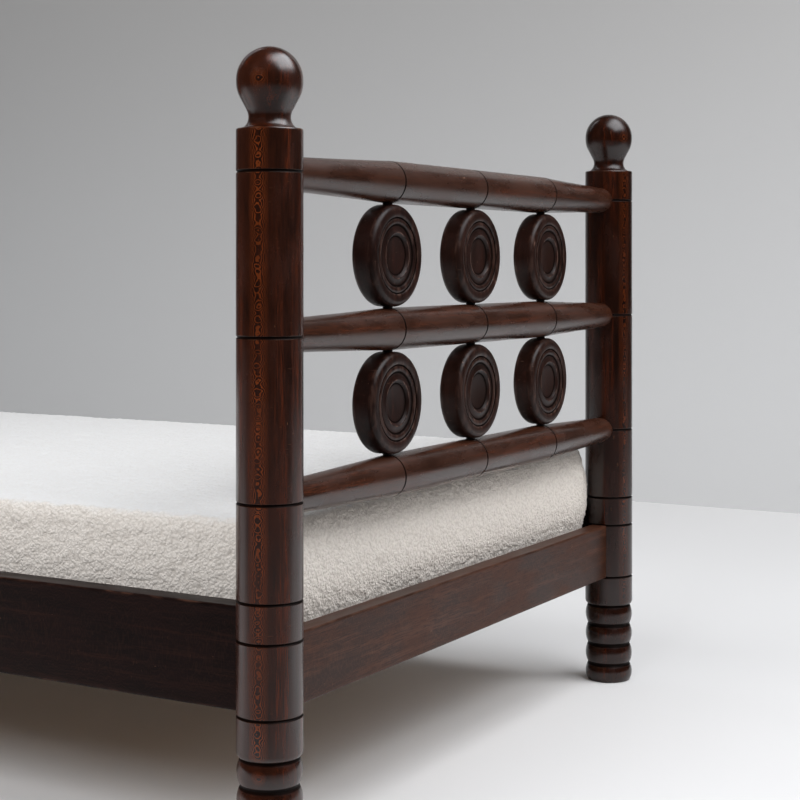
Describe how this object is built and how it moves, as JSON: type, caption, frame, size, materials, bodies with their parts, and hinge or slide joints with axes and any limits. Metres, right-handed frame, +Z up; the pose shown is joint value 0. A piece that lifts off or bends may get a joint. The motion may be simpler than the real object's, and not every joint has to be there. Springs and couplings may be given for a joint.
{
  "type": "wooden single bed",
  "caption": "Dark turned-wood single bed with ball-topped beaded posts, end panels of turned rails and roundels, flat side boards on a slatted base, and a loose boucle mattress.",
  "frame": {"origin": "on the floor, under the middle of the bed", "axes": "+X along the bed towards the end that the picture shows, -Y towards the side board that it shows, +Z up"},
  "size_m": [2.008, 1.002, 0.8717],
  "materials": {
    "post_wood": "satin",
    "rail_wood": "satin",
    "roundel_wood": "satin",
    "dowel_wood": "satin",
    "board_wood": "satin",
    "slat_wood": "matte",
    "hook_steel": "satin",
    "mattress_boucle": "matte"
  },
  "bodies": {
    "bed_frame": {"post_right_front": "post_wood", "strike_plate_right_front": "hook_steel", "hook_plate_right_front": "hook_steel", "post_right_back": "post_wood", "strike_plate_right_back": "hook_steel", "hook_plate_right_back": "hook_steel", "rail_right_top": "rail_wood", "rail_right_middle": "rail_wood", "rail_right_bottom": "rail_wood", "dowel_right_front": "dowel_wood", "roundel_right_upper_front": "roundel_wood", "roundel_right_lower_front": "roundel_wood", "dowel_right_centre": "dowel_wood", "roundel_right_upper_centre": "roundel_wood", "roundel_right_lower_centre": "roundel_wood", "dowel_right_back": "dowel_wood", "roundel_right_upper_back": "roundel_wood", "roundel_right_lower_back": "roundel_wood", "end_board_right": "board_wood", "post_left_front": "post_wood", "strike_plate_left_front": "hook_steel", "hook_plate_left_front": "hook_steel", "post_left_back": "post_wood", "strike_plate_left_back": "hook_steel", "hook_plate_left_back": "hook_steel", "rail_left_top": "rail_wood", "rail_left_middle": "rail_wood", "rail_left_bottom": "rail_wood", "dowel_left_front": "dowel_wood", "roundel_left_upper_front": "roundel_wood", "roundel_left_lower_front": "roundel_wood", "dowel_left_centre": "dowel_wood", "roundel_left_upper_centre": "roundel_wood", "roundel_left_lower_centre": "roundel_wood", "dowel_left_back": "dowel_wood", "roundel_left_upper_back": "roundel_wood", "roundel_left_lower_back": "roundel_wood", "end_board_left": "board_wood", "side_board_front": "board_wood", "ledger_front": "slat_wood", "side_board_back": "board_wood", "ledger_back": "slat_wood", "slat_01": "slat_wood", "slat_02": "slat_wood", "slat_03": "slat_wood", "slat_04": "slat_wood", "slat_05": "slat_wood", "slat_06": "slat_wood", "slat_07": "slat_wood", "slat_08": "slat_wood", "slat_09": "slat_wood", "slat_10": "slat_wood", "slat_11": "slat_wood", "slat_12": "slat_wood"},
    "mattress": {"mattress": "mattress_boucle"}
  },
  "joints": [
    {"name": "mattress_lift", "type": "slide", "parent": "bed_frame", "child": "mattress", "axis": [0, 0, 1], "range_m": [0, 0.67]}
  ]
}
